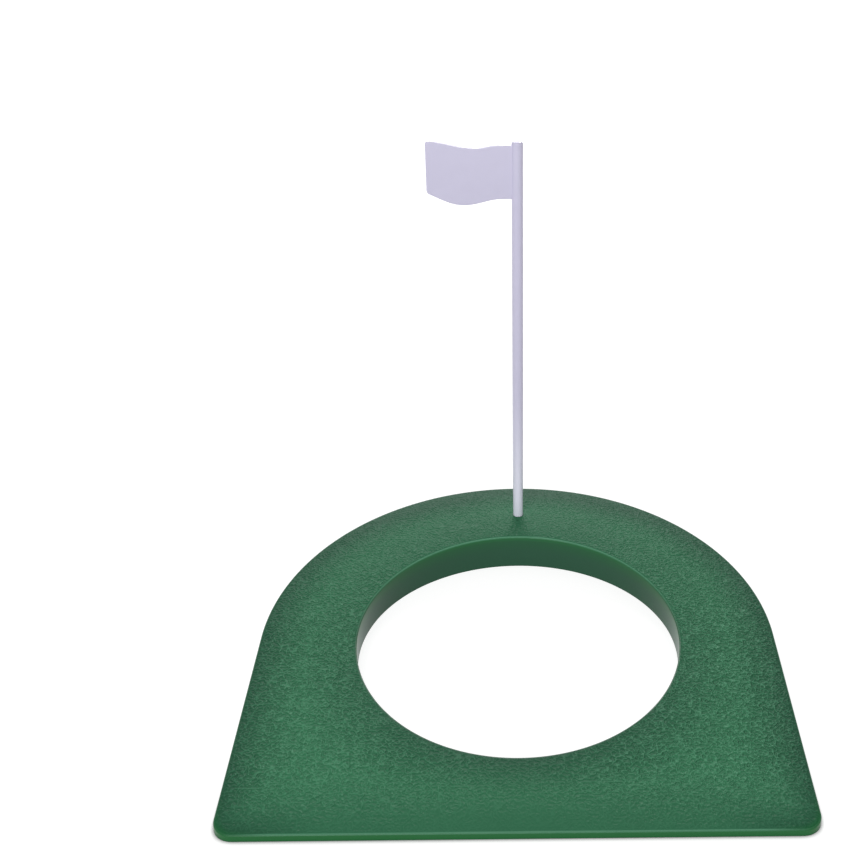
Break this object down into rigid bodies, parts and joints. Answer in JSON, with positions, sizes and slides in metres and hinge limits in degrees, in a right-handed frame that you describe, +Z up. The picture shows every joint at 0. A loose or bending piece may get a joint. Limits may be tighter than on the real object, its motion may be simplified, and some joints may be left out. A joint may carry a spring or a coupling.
{
  "type": "putting cup",
  "caption": "Sloping D-shaped putting ramp around a golf hole, low at the front, with a small plug-in flagstick standing behind the hole.",
  "frame": {"origin": "middle of the footprint's bounding box, on the floor", "axes": "+X to the right seen from the low front edge, +Y from the front edge towards the flagstick, +Z up"},
  "size_m": [0.1728, 0.1684, 0.1581],
  "materials": {
    "green_plastic": "fine leather grain on the sloping top, smooth satin on the edges, walls and bore",
    "white_plastic": "smooth satin"
  },
  "bodies": {
    "ramp": {"ramp_base": "green_plastic"},
    "flagstick": {"flagstick": "white_plastic"}
  },
  "joints": [
    {"name": "flagstick_lift", "type": "slide", "parent": "ramp", "child": "flagstick", "axis": [0, 0, 1], "range_m": [0, 0.025]}
  ]
}
